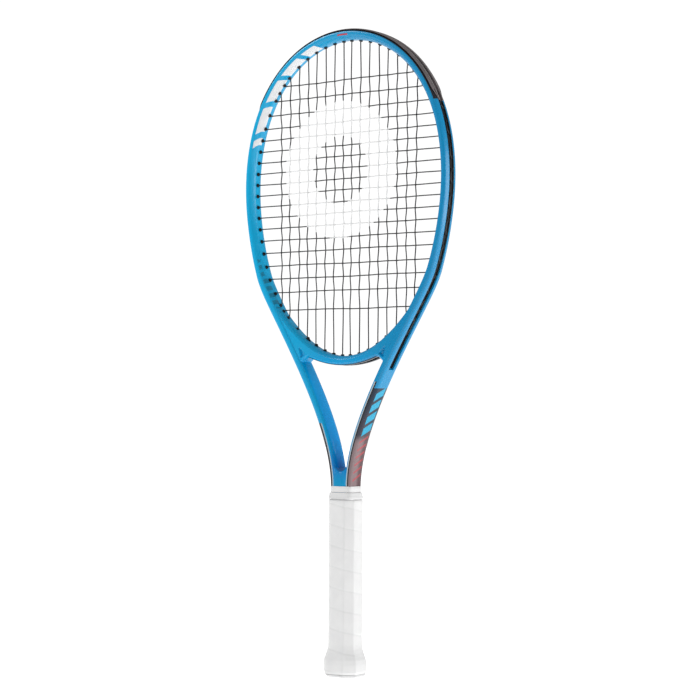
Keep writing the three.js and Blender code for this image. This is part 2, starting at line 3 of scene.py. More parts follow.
import bpy
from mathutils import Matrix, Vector


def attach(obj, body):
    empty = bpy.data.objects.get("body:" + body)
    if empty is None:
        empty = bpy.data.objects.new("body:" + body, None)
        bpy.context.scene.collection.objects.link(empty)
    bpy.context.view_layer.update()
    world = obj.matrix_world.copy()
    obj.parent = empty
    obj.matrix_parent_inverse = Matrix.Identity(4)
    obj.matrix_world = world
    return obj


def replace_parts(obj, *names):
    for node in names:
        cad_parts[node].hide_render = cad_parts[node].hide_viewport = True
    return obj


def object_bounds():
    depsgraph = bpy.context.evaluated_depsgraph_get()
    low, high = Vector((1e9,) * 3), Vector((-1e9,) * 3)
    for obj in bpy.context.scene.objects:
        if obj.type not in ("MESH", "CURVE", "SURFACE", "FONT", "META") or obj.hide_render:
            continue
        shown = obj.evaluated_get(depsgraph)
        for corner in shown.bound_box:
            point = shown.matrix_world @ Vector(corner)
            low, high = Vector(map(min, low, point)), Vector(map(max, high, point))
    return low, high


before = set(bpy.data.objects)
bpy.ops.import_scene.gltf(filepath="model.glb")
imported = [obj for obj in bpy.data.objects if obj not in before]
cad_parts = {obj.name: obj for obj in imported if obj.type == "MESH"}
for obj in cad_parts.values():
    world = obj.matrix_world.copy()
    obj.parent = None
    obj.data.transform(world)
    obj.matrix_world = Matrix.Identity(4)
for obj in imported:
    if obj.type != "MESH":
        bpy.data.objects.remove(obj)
cad_low, cad_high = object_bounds()

# The scene is in metres. The shapes below are worked out in millimetres and scaled as each mesh is made.
MM = 0.001
BODY = "racket"


# ---------------------------------------------------------------- driving dimensions

# In millimetres. The centre lines and the string holes are those of the CAD. The sections are drawn finer
# here, the strings thinner and the bridge's recesses shallower.
HOOP_HALF_WIDTH = 126.5
HOOP_HALF_HEIGHT = 184.4
HOOP_CENTRE = 496.0
HOOP_SKEW = 0.1565
HOOP_END_ANGLE = 1.935
HOOP_SHARE = 0.56
ARM_LEAD = 38.7
ARM_RUN = 77.0
ARM_FOOT_X = 8.0
ARM_FOOT_Z = 201.8
SHAFT_FOOT_Z = 187.3
SHAFT_STATIONS = 0.06

GROOVE_FLOOR = 2.0
GROOVE_HALF = 4.2
GROOVE_END = 0.787
BLEND_FROM = 0.46
BLEND_TO = 0.64
SHAFT_BLEND = (0.96, 1.03)

# Half sections from the lip of the groove round the front crest to the inner flat: outward, depth, rounding.
HOOP_HALF_SECTION = [(4.1, 4.9, 0.5), (3.2, 8.3, 1.2), (1.7, 10.5, 1.0), (-1.7, 10.5, 1.3), (-3.6, 8.8, 1.0),
                     (-6.1, 4.4, 2.0)]
ARM_HALF_SECTION = [(5.6, 7.5, 0.8), (5.0, 9.8, 0.9), (3.3, 10.7, 1.2), (-1.4, 10.7, 1.3), (-2.7, 9.0, 1.2),
                    (-3.7, 4.9, 2.0)]
SHAFT_HALF_SECTION = [(5.2, 7.2, 0.8), (4.7, 9.5, 0.9), (3.1, 10.5, 1.2), (-2.0, 10.5, 1.0), (-3.0, 9.2, 0.8),
                      (-4.0, 4.9, 2.0)]

BRIDGE_TOP = (339.6, 144.5)
BRIDGE_UNDER = (329.5, 227.5)
BRIDGE_DEPTH = 9.6
BRIDGE_REACH = 88.0
BRIDGE_CORNER = 45.0
BRIDGE_DROP = (56.0, 7.0)
BRIDGE_RISE = (55.0, 20.0)
BRIDGE_BURIED = (69.0, 1.7)
BRIDGE_GROOVE = 2.2
POCKET = [(57.0, 350.0), (48.0, 341.5), (54.0, 337.0)]
POCKET_DEPTH = 2.4
THROAT_STRIP_REACH = 46.5

BUMPER_END = 0.283
SIDE_STRIP = (0.2845, 0.786)
BARREL_RADIUS = 2.0
BARREL_BORE = 1.0
BARREL_PROUD = 1.6

STRING_RADIUS = 0.65
STRING_WAVE = 0.72
STRING_BEND = 1.0
STRING_CHANNEL = 3.75
STRING_SIDESTEP = 1.6
MAIN_X = [5.1, 16.7, 28.7, 40.6, 52.2, 64.0, 76.4, 89.5]
MAINS_ON_BRIDGE = 5
OUTER_FOOT_X = 86.8
GUSSET_MOUTHS = {5: -12.0, 6: -8.0}
EXIT_PULL = 0.165
FIRST_CROSS = 633.0
CROSS_PITCH = [15.5, 15, 14, 12.5, 12, 12, 12, 12, 12, 12, 12, 12.5, 13, 13.5, 14.5, 14, 15, 19.5]

GRIP_FLAT_X = 8.95
GRIP_HALF_Y = 15.55
GRIP_HALF_X = 16.65
GRIP_FLAT_Y = 7.65


# ---------------------------------------------------------------- small tools

def mix(a, b, t):
    return a + (b - a) * t


def smoothstep(value, low, high):
    t = min(max((value - low) / (high - low), 0.0), 1.0)
    return t * t * (3 - 2 * t)


def spaced(low, high, count):
    return [mix(low, high, index / (count - 1)) for index in range(count)]


def solve(measure, target, low, high):
    """The place between low and high where a rising or falling measure equals the target."""
    rising = measure(high) > measure(low)
    for _ in range(40):
        middle = (low + high) / 2
        if (measure(middle) < target) == rising:
            low = middle
        else:
            high = middle
    return (low + high) / 2


def placed(name, data):
    """A new object with the given data, in the scene."""
    thing = bpy.data.objects.new(name, data)
    bpy.context.scene.collection.objects.link(thing)
    return thing


def add_mesh(name, points, faces, smooth_angle=35.0):
    """A mesh object from points in millimetres, smooth except across edges sharper than the angle."""
    mesh = bpy.data.meshes.new(name)
    mesh.from_pydata([Vector(point) * MM for point in points], [], faces)
    mesh.validate()
    mesh.shade_smooth()
    mesh.set_sharp_from_angle(angle=math.radians(smooth_angle))
    return placed(name, mesh)


def loft(rings, closed=False):
    """Points and faces of a skin through rings of equal corner count; closed joins the last to the first."""
    corners = len(rings[0])
    points = [point for ring in rings for point in ring]
    faces = []
    spans = len(rings) if closed else len(rings) - 1
    for ring in range(spans):
        here, there = ring * corners, ((ring + 1) % len(rings)) * corners
        for corner in range(corners):
            after = (corner + 1) % corners
            faces.append((here + corner, here + after, there + after, there + corner))
    if not closed:
        last = (len(rings) - 1) * corners
        faces.append(tuple(reversed(range(corners))))
        faces.append(tuple(range(last, last + corners)))
    return points, faces


def joined(parts):
    """Several (points, faces) skins as one."""
    points, faces = [], []
    for part_points, part_faces in parts:
        start = len(points)
        points += part_points
        faces += [tuple(start + index for index in face) for face in part_faces]
    return points, faces


def face_outwards(thing):
    """Makes every closed shell of a mesh face outwards."""
    bpy.context.view_layer.objects.active = thing
    thing.select_set(True)
    bpy.ops.object.mode_set(mode="EDIT")
    bpy.ops.mesh.select_all(action="SELECT")
    bpy.ops.mesh.normals_make_consistent(inside=False)
    bpy.ops.object.mode_set(mode="OBJECT")
    thing.select_set(False)


def rounded(outline, steps=3):
    """A closed outline of (a, b, radius) corners with each corner turned into a short curve."""
    result = []
    count = len(outline)
    for index, (a, b, radius) in enumerate(outline):
        if radius == 0:
            result.append((a, b))
            continue
        corner = Vector((a, b))
        before = Vector(outline[index - 1][:2]) - corner
        after = Vector(outline[(index + 1) % count][:2]) - corner
        reach_before = min(radius, before.length * 0.48)
        reach_after = min(radius, after.length * 0.48)
        start = corner + before.normalized() * reach_before
        end = corner + after.normalized() * reach_after
        for step in range(steps + 1):
            t = step / steps
            point = start * (1 - t) ** 2 + corner * 2 * t * (1 - t) + end * t * t
            result.append((point.x, point.y))
    return result


def mirrored(half):
    """A half outline and its mirror image in depth."""
    return half + [(out, -depth, radius) for out, depth, radius in reversed(half)]


# ---------------------------------------------------------------- tracks

def hoop_point(angle):
    return Vector((
        HOOP_HALF_WIDTH * math.sin(angle) * (1 + HOOP_SKEW * math.cos(angle)),
        0.0,
        HOOP_CENTRE + HOOP_HALF_HEIGHT * math.cos(angle),
    ))


def limb_centre(station):
    """Station 0 is the tip, +1 the foot of the right arm and -1 the foot of the left arm."""
    place = abs(station)
    angle = min(place, HOOP_SHARE) / HOOP_SHARE * HOOP_END_ANGLE
    point = hoop_point(angle)
    if place > HOOP_SHARE:
        heading = (hoop_point(HOOP_END_ANGLE) - hoop_point(HOOP_END_ANGLE - 1e-4)).normalized()
        t = min((place - HOOP_SHARE) / (1 - HOOP_SHARE), 1.0)
        controls = [point, point + heading * ARM_LEAD,
                    Vector((ARM_FOOT_X, 0, ARM_FOOT_Z + ARM_RUN)), Vector((ARM_FOOT_X, 0, ARM_FOOT_Z))]
        weights = [(1 - t) ** 3, 3 * t * (1 - t) ** 2, 3 * t * t * (1 - t), t ** 3]
        point = sum((control * weight for control, weight in zip(controls, weights)), Vector((0, 0, 0)))
    if place > 1:
        down = (place - 1) / SHAFT_STATIONS
        point = Vector((ARM_FOOT_X, 0, mix(ARM_FOOT_Z, SHAFT_FOOT_Z, down)))
    return Vector((math.copysign(point.x, station), 0, point.z))


def limb_track(station):
    limit = 1 + SHAFT_STATIONS
    ahead = limb_centre(min(station + 1e-4, limit))
    behind = limb_centre(max(station - 1e-4, -limit))
    along = (ahead - behind).normalized()
    return limb_centre(station), Vector((-along.z, 0, along.x))


def bridge_top(x):
    return BRIDGE_TOP[0] + x * x / BRIDGE_TOP[1]


def bridge_under(x):
    return BRIDGE_UNDER[0] + x * x / BRIDGE_UNDER[1]


def bridge_track(x):
    """Along the underside of the bridge, set back as far as a limb's centre line is from its outer flat."""
    outward = Vector((2 * x / BRIDGE_UNDER[1], 0, -1)).normalized()
    return Vector((x, 0, bridge_under(x))) - outward * GROOVE_HALF, outward


def on_track(track, place, out, depth):
    centre, outward = track(place)
    return centre + outward * out + Vector((0, depth, 0))


def sweep(track, places, section_at):
    """The skin through the section at each place, and the (place, outward) of each of its points."""
    sections = [section_at(place) for place in places]
    skin = loft([[on_track(track, place, out, depth) for out, depth in section]
                 for place, section in zip(places, sections)])
    return skin, [(place, out) for place, section in zip(places, sections) for out, depth in section]


# ---------------------------------------------------------------- string holes

def limb_half(station):
    """The half section of the limb at a station, without its groove."""
    t = smoothstep(abs(station), BLEND_FROM, BLEND_TO)
    foot = smoothstep(abs(station), *SHAFT_BLEND)
    return [tuple(mix(mix(a, b, t), c, foot) for a, b, c in zip(hoop, arm, shaft))
            for hoop, arm, shaft in zip(HOOP_HALF_SECTION, ARM_HALF_SECTION, SHAFT_HALF_SECTION)]


class Hole:
    """A string hole: its mouth, where the string bends into the barrel, and its exit to the outer channel."""

    def __init__(self, track, place, mouth, exit_point):
        self.track, self.place, self.mouth, self.exit = track, place, mouth, exit_point

    def flipped(self):
        turn = Vector((-1, 1, 1))
        return Hole(self.track, -self.place, self.mouth * turn, self.exit * turn)

    def inward(self):
        return (self.mouth - self.exit).normalized()


def limb_hole(station, mouth_out=None):
    if mouth_out is None:
        mouth_out = limb_half(station)[-1][0] - BARREL_PROUD - STRING_BEND
    mouth = on_track(limb_track, station, mouth_out, 0)
    return Hole(limb_track, station, mouth, on_track(limb_track, station, STRING_CHANNEL, 0))


def bridge_hole(x):
    exit_x = x * (1 - EXIT_PULL * (x / MAIN_X[MAINS_ON_BRIDGE - 1]) ** 2)
    mouth = Vector((x, 0, bridge_top(x) + BARREL_PROUD + STRING_BEND))
    return Hole(bridge_track, exit_x, mouth, on_track(bridge_track, exit_x, STRING_CHANNEL, 0))


def main_foot(index):
    if index < MAINS_ON_BRIDGE:
        return bridge_hole(MAIN_X[index])
    x = OUTER_FOOT_X if index == len(MAIN_X) - 1 else MAIN_X[index]
    mouth_out = GUSSET_MOUTHS.get(index)
    return limb_hole(solve(lambda s: limb_hole(s, mouth_out).mouth.x, x, 0.5, 0.8), mouth_out)


main_heads = [limb_hole(solve(lambda s: limb_hole(s).mouth.x, x, 0.005, 0.35)) for x in MAIN_X]
main_feet = [main_foot(index) for index in range(len(MAIN_X))]
cross_z = [FIRST_CROSS]
for pitch in CROSS_PITCH:
    cross_z.append(cross_z[-1] - pitch)
cross_ends = [limb_hole(solve(lambda s: limb_hole(s).mouth.z, z, 0.1, 0.7)) for z in cross_z]
every_hole = [hole for right in main_heads + main_feet + cross_ends for hole in (right, right.flipped())]


# ---------------------------------------------------------------- node tools

class Nodes:
    """A material's node tree with short calls for the nodes used here."""

    def __init__(self, name, colour, roughness, metallic=0.0):
        self.material = bpy.data.materials.new(name)
        self.material.use_nodes = True
        self.tree = self.material.node_tree
        self.shader = self.tree.nodes["Principled BSDF"]
        self.shader.inputs["Base Color"].default_value = (*colour, 1)
        self.shader.inputs["Roughness"].default_value = roughness
        self.shader.inputs["Metallic"].default_value = metallic

    def put(self, socket, value):
        if isinstance(value, bpy.types.NodeSocket):
            self.tree.links.new(value, socket)
        elif isinstance(value, tuple) and len(value) == 3 and socket.type == "RGBA":
            socket.default_value = (*value, 1)
        else:
            socket.default_value = value

    def math(self, operation, a, b=0.0):
        node = self.tree.nodes.new("ShaderNodeMath")
        node.operation = operation
        for socket, value in zip(node.inputs, (a, b)):
            self.put(socket, value)
        return node.outputs[0]

    def slanted(self, value, other, slope):
        """The value plus another one times a slope."""
        return self.math("ADD", value, self.math("MULTIPLY", other, slope))

    def cycle(self, value, pitch):
        """Rises from 0 to 1 over each pitch."""
        return self.math("FRACT", self.math("MULTIPLY", value, 1 / pitch))

    def place(self):
        """The place on the surface at rest, in metres."""
        return self.tree.nodes.new("ShaderNodeTexCoord").outputs["Object"]

    def position(self):
        """The X, Y and Z of that place."""
        split = self.tree.nodes.new("ShaderNodeSeparateXYZ")
        self.tree.links.new(self.place(), split.inputs[0])
        return split.outputs

    def attribute(self, name):
        node = self.tree.nodes.new("ShaderNodeAttribute")
        node.attribute_name = name
        return node.outputs["Fac"]

    def ramp(self, value, low, high, start=0.0, end=1.0):
        node = self.tree.nodes.new("ShaderNodeMapRange")
        node.interpolation_type = "SMOOTHSTEP"
        names = ("Value", "From Min", "From Max", "To Min", "To Max")
        for name, given in zip(names, (value, low, high, start, end)):
            self.put(node.inputs[name], given)
        return node.outputs[0]

    def within(self, value, low, high, edge):
        """1 between low and high, falling to 0 over the edge distance on both sides."""
        rise = self.ramp(value, low - edge, low + edge)
        fall = self.ramp(value, high - edge, high + edge, 1.0, 0.0)
        return self.math("MULTIPLY", rise, fall)

    def both(self, *masks):
        result = masks[0]
        for mask in masks[1:]:
            result = self.math("MULTIPLY", result, mask)
        return result

    def blend(self, factor, a, b):
        node = self.tree.nodes.new("ShaderNodeMix")
        node.data_type = "RGBA"
        self.put(node.inputs[0], factor)
        self.put(node.inputs[6], a)
        self.put(node.inputs[7], b)
        return node.outputs[2]

    def noise(self, scale, detail=2.0, stretch=(1, 1, 1)):
        mapping = self.tree.nodes.new("ShaderNodeMapping")
        mapping.inputs["Scale"].default_value = stretch
        texture = self.tree.nodes.new("ShaderNodeTexNoise")
        texture.inputs["Scale"].default_value = scale
        texture.inputs["Detail"].default_value = detail
        self.tree.links.new(self.place(), mapping.inputs["Vector"])
        self.tree.links.new(mapping.outputs[0], texture.inputs["Vector"])
        return texture.outputs[0]

    def pores(self, scale):
        texture = self.tree.nodes.new("ShaderNodeTexVoronoi")
        texture.inputs["Scale"].default_value = scale
        self.tree.links.new(self.place(), texture.inputs["Vector"])
        return texture.outputs["Distance"]

    def bump(self, height, distance, strength=1.0):
        node = self.tree.nodes.new("ShaderNodeBump")
        node.inputs["Distance"].default_value = distance
        node.inputs["Strength"].default_value = strength
        self.put(node.inputs["Height"], height)
        self.tree.links.new(node.outputs[0], self.shader.inputs["Normal"])

    def colour(self, value):
        self.put(self.shader.inputs["Base Color"], value)

    def roughness(self, value):
        self.put(self.shader.inputs["Roughness"], value)


def dress(thing, nodes):
    thing.data.materials.clear()
    thing.data.materials.append(nodes.material)


# ---------------------------------------------------------------- materials

# Painted light: the lighter blue brightens the left of the hoop.
LIT_SIDE_BLUE = (0.0, 0.42, 0.74)
BLUE = (0.0, 0.25, 0.51)
DEEP_BLUE = (0.0, 0.21, 0.56)
# Painted light: the azure brightens the inner faces of the arms.
LIT_INNER_AZURE = (0.0, 0.38, 0.84)
WHITE_INK = (0.86, 0.87, 0.88)
RED_INK = (0.52, 0.035, 0.05)
TEAL_INK = (0.01, 0.17, 0.27)
NAVY = (0.003, 0.018, 0.045)
MAUVE = (0.24, 0.165, 0.175)
SLATE = (0.03, 0.03, 0.05)
UMBER = (0.10, 0.05, 0.058)
CYAN_INK = (0.0, 0.37, 0.60)
STRIPE_GREY = (0.42, 0.5, 0.55)
BLACK = (0.014, 0.014, 0.018)

# Printed marks: blocks, tip dash and bumper edge by station, the rest by height or depth in metres.
BLOCK_PITCH = 0.065
BLOCK_RANGE = (-0.345, -0.085)
BLOCK_SLANT = 0.0026
DASH_PITCH = 1 / 130
DASH_RANGE = (0.392, 0.446)
DASH_SLANT = 0.001
TIP_DASH = (-0.013, 0.013)
BUMPER_EDGE = (-0.281, 0.281)
PANEL_RANGE = (0.17, 0.305)
BAR_SLOPE = -0.5
BAR_DEPTHS = (-0.0068, 0.0064)
RED_BAR_PITCH = 0.008
RED_BAR_RANGE = (0.204, 0.2562)
CYAN_BAR_PITCH = 0.0122
CYAN_BAR_RANGE = (0.2562, 0.3050)


def arm_panel(nodes, y, z):
    """The panel on the outer side of each arm: shaded, with plain slanted bars, red below and cyan above."""
    near = nodes.blend(nodes.ramp(z, 0.247, 0.257), MAUVE, SLATE)
    near = nodes.blend(nodes.ramp(z, 0.270, 0.295), near, NAVY)
    far = nodes.blend(nodes.ramp(z, 0.25, 0.27), UMBER, NAVY)
    panel = nodes.blend(nodes.ramp(y, -0.002, 0.004), near, far)
    slope = nodes.slanted(z, y, BAR_SLOPE)
    across = nodes.within(y, *BAR_DEPTHS, 0.0002)
    cyan_bars = nodes.both(nodes.within(nodes.cycle(slope, CYAN_BAR_PITCH), 0.12, 0.8, 0.03), across,
                           nodes.within(slope, *CYAN_BAR_RANGE, 0.0002))
    red_bars = nodes.both(nodes.within(nodes.cycle(slope, RED_BAR_PITCH), 0.2, 0.5, 0.05), across,
                          nodes.within(slope, *RED_BAR_RANGE, 0.0002))
    panel = nodes.blend(cyan_bars, panel, CYAN_INK)
    return nodes.blend(nodes.math("MULTIPLY", red_bars, 0.65), panel, RED_INK)


def lacquer():
    """Blue lacquer with painted light: it fades lighter towards the left of the hoop and is brighter on the
    arms' inner faces. It has plain printed marks, a panel on the outer side of each arm, a dark underside to
    the bridge and a pinstripe."""
    nodes = Nodes("lacquer", BLUE, 0.22)
    x, y, z = nodes.position()
    out = nodes.attribute("outward")
    station = nodes.attribute("station")
    depth = nodes.math("ABSOLUTE", y)
    front = nodes.math("LESS_THAN", y, 0.0)
    left = nodes.math("LESS_THAN", station, 0.0)

    def on_side(right_value, left_value):
        return nodes.ramp(left, 0.0, 1.0, right_value, left_value)

    # Painted light: a fade across the hoop, lighter towards the left, and a deeper blue at the throat.
    painted_light_fade = nodes.blend(nodes.ramp(x, -0.135, 0.10), LIT_SIDE_BLUE, BLUE)
    base = nodes.blend(nodes.within(z, 0.212, 0.236, 0.012), painted_light_fade, DEEP_BLUE)
    base = nodes.blend(nodes.ramp(nodes.noise(45, 3), 0.35, 0.75, 0.0, 0.12), base, DEEP_BLUE)

    # Painted light: the inner faces of the arms are brighter.
    lit_inner_faces = nodes.both(nodes.ramp(out, -3.2, -2.0, 1.0, 0.0), nodes.within(z, 0.235, 0.33, 0.02))
    base = nodes.blend(lit_inner_faces, base, LIT_INNER_AZURE)

    # Plain white blocks along the upper left of the hoop.
    slanted = nodes.slanted(station, out, BLOCK_SLANT)
    solid = nodes.within(nodes.cycle(slanted, BLOCK_PITCH), 0.1, 0.9, 0.012)
    blocks = nodes.both(solid, nodes.ramp(out, -2.6, -2.4, 1.0, 0.0), front)
    blocks = nodes.both(blocks, nodes.within(slanted, *BLOCK_RANGE, 0.0008))
    base = nodes.blend(blocks, base, WHITE_INK)

    # A row of short teal dashes lower on the same side, and one red dash at the tip.
    dash_phase = nodes.cycle(nodes.slanted(z, out, DASH_SLANT), DASH_PITCH)
    dashes = nodes.both(nodes.within(z, *DASH_RANGE, 0.0003), nodes.within(out, -4.2, -2.3, 0.15),
                        front, left, nodes.within(dash_phase, 0.15, 0.72, 0.05))
    base = nodes.blend(nodes.math("MULTIPLY", dashes, 0.7), base, TEAL_INK)
    dash = nodes.both(nodes.within(station, *TIP_DASH, 0.001), nodes.within(out, -2.0, -0.4, 0.15), front)
    base = nodes.blend(dash, base, RED_INK)

    # A black line on the hoop beside the bumper.
    beside = nodes.both(nodes.within(station, *BUMPER_EDGE, 0.001), nodes.within(out, 2.1, 5.0, 0.1))
    base = nodes.blend(beside, base, BLACK)

    panel_from = on_side(2.5, 4.6)
    side = nodes.both(nodes.math("GREATER_THAN", out, panel_from), nodes.within(z, *PANEL_RANGE, 0.0004))
    base = nodes.blend(side, base, arm_panel(nodes, y, z))

    # The underside of the bridge.
    base = nodes.blend(nodes.ramp(out, 2.0, 8.0), base, nodes.blend(nodes.ramp(out, 6.0, 7.5), base, NAVY))

    # A black edge with a light line beside it, longer on the right arm than on the left.
    along = nodes.math("LESS_THAN", z, on_side(0.312, 0.268))
    border = on_side(0.9, 1.9)
    inner = nodes.math("SUBTRACT", border, 1.3)
    outer = on_side(2.5, 9.0)
    edge = nodes.both(along, nodes.math("GREATER_THAN", out, border), nodes.math("LESS_THAN", out, outer),
                      nodes.ramp(depth, 0.0083, 0.0085))
    line = nodes.both(along, nodes.math("GREATER_THAN", out, inner), nodes.math("LESS_THAN", out, border),
                      nodes.ramp(depth, 0.0095, 0.0098))
    base = nodes.blend(line, base, STRIPE_GREY)
    base = nodes.blend(edge, base, BLACK)
    nodes.colour(base)
    nodes.roughness(nodes.ramp(nodes.noise(35, 3), 0.3, 0.7, 0.2, 0.3))
    nodes.shader.inputs["Specular IOR Level"].default_value = 0.4
    nodes.shader.inputs["Coat Weight"].default_value = 0.1
    nodes.shader.inputs["Coat Roughness"].default_value = 0.12
    nodes.bump(nodes.noise(120, 2), 0.00003, 0.3)
    return nodes


def nylon():
    """Black nylon: scuffed grey in patches, with fine moulding grain."""
    nodes = Nodes("black_nylon", BLACK, 0.42)
    scuff = nodes.ramp(nodes.noise(90, 4, (1, 1, 0.35)), 0.5, 0.8, 0.0, 0.25)
    nodes.colour(nodes.blend(scuff, (0.004, 0.005, 0.006), (0.035, 0.033, 0.033)))
    nodes.shader.inputs["Specular IOR Level"].default_value = 0.25
    nodes.roughness(nodes.ramp(nodes.noise(300, 2), 0.3, 0.7, 0.33, 0.5))
    nodes.bump(nodes.noise(1800, 2), 0.00005, 0.6)
    return nodes


def sheen_painted_nylon():
    """The bumper's black nylon with painted sheen: warm grey flaps with a black border, a painted highlight
    on the ridges outside and painted shade in the grooves between them.
    """
    nodes = Nodes("sheen_painted_nylon", (0.14, 0.12, 0.125), 0.45)
    out = nodes.attribute("outward")
    depth = nodes.math("ABSOLUTE", nodes.position()["Y"])
    # Painted sheen: the warm greys stand for light on black nylon, in patches of two tones.
    sheen_patches = nodes.ramp(nodes.noise(70, 4, (1, 1, 0.5)), 0.3, 0.75)
    tone = nodes.blend(sheen_patches, (0.21, 0.175, 0.18), (0.135, 0.115, 0.12))
    # Painted highlight on the outer ridges, painted shade in the grooves between them.
    ridge = nodes.both(nodes.within(depth, 0.0029, 0.0063, 0.0001), nodes.ramp(out, 5.12, 5.22))
    valley_shade = nodes.both(nodes.within(depth, 0.0040, 0.0062, 0.0001), nodes.within(out, 4.8, 5.06, 0.03))
    border = nodes.both(nodes.ramp(depth, 0.0082, 0.0085), nodes.ramp(out, 4.1, 4.3, 1.0, 0.0))
    tone = nodes.blend(nodes.math("MULTIPLY", ridge, 0.55), tone, (0.33, 0.32, 0.31))
    tone = nodes.blend(valley_shade, tone, (0.03, 0.028, 0.03))
    tone = nodes.blend(border, tone, BLACK)
    tone = nodes.blend(nodes.ramp(out, 2.4, 3.2, 1.0, 0.0), tone, BLACK)
    nodes.colour(tone)
    nodes.roughness(nodes.ramp(nodes.noise(260, 2), 0.3, 0.7, 0.36, 0.55))
    nodes.bump(nodes.noise(1500, 3), 0.00006, 0.6)
    return nodes


STENCIL_CENTRE = (-0.009, 0.538)
STENCIL_RADII = (0.036, 0.073)


def string_coat():
    """Black string with a plain white ring stencilled across the bed, thin where the ink has worn."""
    nodes = Nodes("string_coat", BLACK, 0.35)
    x, _, z = nodes.position()
    across = nodes.math("POWER", nodes.math("SUBTRACT", x, STENCIL_CENTRE[0]), 2.0)
    up = nodes.math("POWER", nodes.math("SUBTRACT", z, STENCIL_CENTRE[1]), 2.0)
    distance = nodes.math("SQRT", nodes.math("ADD", across, up))
    ragged = nodes.math("ADD", distance, nodes.ramp(nodes.noise(700, 2), 0.3, 0.7, -0.0006, 0.0006))
    ring = nodes.within(ragged, *STENCIL_RADII, 0.0003)
    ink = nodes.both(ring, nodes.ramp(nodes.noise(900, 2), 0.25, 0.4, 0.86, 1.0))
    nodes.colour(nodes.blend(ink, (0.022, 0.021, 0.023), (0.84, 0.84, 0.84)))
    nodes.roughness(nodes.ramp(ink, 0.0, 1.0, 0.34, 0.7))
    nodes.bump(nodes.noise(2600, 1), 0.00003, 0.5)
    return nodes


def wrap_leather():
    """White synthetic leather: fine grain, small pores and a little grey in the seams."""
    nodes = Nodes("wrap_leather", (0.8, 0.8, 0.8), 0.6)
    seam = nodes.attribute("seam")
    tone = nodes.blend(nodes.ramp(nodes.noise(60, 3), 0.3, 0.7), (0.80, 0.80, 0.80), (0.84, 0.84, 0.837))
    nodes.colour(nodes.blend(nodes.math("MULTIPLY", seam, 0.35), tone, (0.60, 0.60, 0.60)))
    nodes.roughness(nodes.ramp(nodes.noise(220, 2), 0.3, 0.7, 0.52, 0.68))
    grain = nodes.math("ADD", nodes.pores(1500), nodes.math("MULTIPLY", nodes.noise(900, 3), 0.8))
    nodes.bump(grain, 0.00010, 0.5)
    return nodes


def moulded(name, colour, roughness, speck):
    """Plain moulded plastic, rubber or foam, with a soft mottle of the given strength."""
    nodes = Nodes(name, colour, roughness)
    darker = tuple(channel * (1 - speck) for channel in colour)
    nodes.colour(nodes.blend(nodes.ramp(nodes.noise(150, 3), 0.35, 0.7), colour, darker))
    nodes.roughness(nodes.ramp(nodes.noise(400, 2), 0.3, 0.7, roughness - 0.06, roughness + 0.06))
    nodes.bump(nodes.noise(1500, 2), 0.00005, 0.5)
    return nodes


def wire_steel():
    """Drawn steel with fine lines."""
    nodes = Nodes("wire_steel", (0.6, 0.61, 0.62), 0.3, 1.0)
    nodes.roughness(nodes.ramp(nodes.noise(500, 2, (1, 6, 6)), 0.3, 0.7, 0.2, 0.4))
    nodes.bump(nodes.noise(2500, 1, (1, 8, 8)), 0.00002, 0.4)
    return nodes


LACQUER = lacquer()
NYLON = nylon()
SHEEN_NYLON = sheen_painted_nylon()
STRING_COAT = string_coat()
WRAP = wrap_leather()
RUBBER = moulded("collar_rubber", (0.80, 0.80, 0.80), 0.5, 0.04)
VINYL = moulded("tape_vinyl", (0.82, 0.82, 0.82), 0.35, 0.03)
CAP_PLASTIC = moulded("cap_plastic", (0.74, 0.74, 0.74), 0.4, 0.04)
BADGE_PLASTIC = moulded("badge_plastic", (0.30, 0.32, 0.35), 0.3, 0.15)
FOAM = moulded("pallet_foam", (0.05, 0.05, 0.055), 0.8, 0.3)
STEEL = wire_steel()


# ---------------------------------------------------------------- frame

def write_attribute(thing, name, values):
    """Stores one number on each vertex, for a material to read."""
    attribute = thing.data.attributes.new(name, "FLOAT", "POINT")
    attribute.data.foreach_set("value", values)


def write_paint_places(thing, laid):
    """Stores on each vertex the station and the distance outwards that the paint is laid out by."""
    write_attribute(thing, "station", [station for station, out in laid])
    write_attribute(thing, "outward", [out for station, out in laid])


def limb_section(station):
    half = limb_half(station)
    lip = half[0][0]
    open_groove = abs(station) < GROOVE_END
    floor = GROOVE_FLOOR if open_groove else lip
    groove = [(floor, GROOVE_HALF - 0.05, 0.3), (lip, GROOVE_HALF, 0.25)]
    return rounded(mirrored(groove + half))


STATION_STEP = 0.005


def stations():
    """Even stations along both limbs, and two close together at each end of the groove."""
    count = round((1 + SHAFT_STATIONS) / STATION_STEP)
    ends = [GROOVE_END - 0.0005, GROOVE_END + 0.0005]
    half = sorted([index * STATION_STEP for index in range(1, count + 1)] + ends)
    return [-station for station in reversed(half)] + [0.0] + half


def superellipse(width, depth, power, count=56):
    points = []
    for index in range(count):
        angle = 2 * math.pi * index / count
        cos, sin = math.cos(angle), math.sin(angle)
        points.append((
            width / 2 * math.copysign(abs(cos) ** (2 / power), cos),
            depth / 2 * math.copysign(abs(sin) ** (2 / power), sin),
        ))
    return points


def level_ring(z, outline):
    return [Vector((x, y, z)) for x, y in outline]


# The slim core inside the handle: its ends, and its width, depth and squareness.
TANG_LEVELS = (12.0, 188.5)
TANG_SECTION = (21, 17, 7)

# The web between the feet of the arms: a plate with a rounded notch, its front edges eased.
WEB_HALF_WIDTH = 8.5
WEB_TIP = (8.8, 223.0)
WEB_NOTCH_Z = 215.5
WEB_FACES = [(-10.47, 1.3), (-9.9, 0.4), (-9.0, 0.0), (9.0, 0.0), (9.9, 0.4), (10.47, 1.3)]

# The station and the distance outwards that pieces off the centre line are painted by.
WEB_PAINT = (1.0, -ARM_FOOT_X)
TANG_PAINT = (1.0, 0.0)
BARREL_PAINT = (0.0, -9.0)


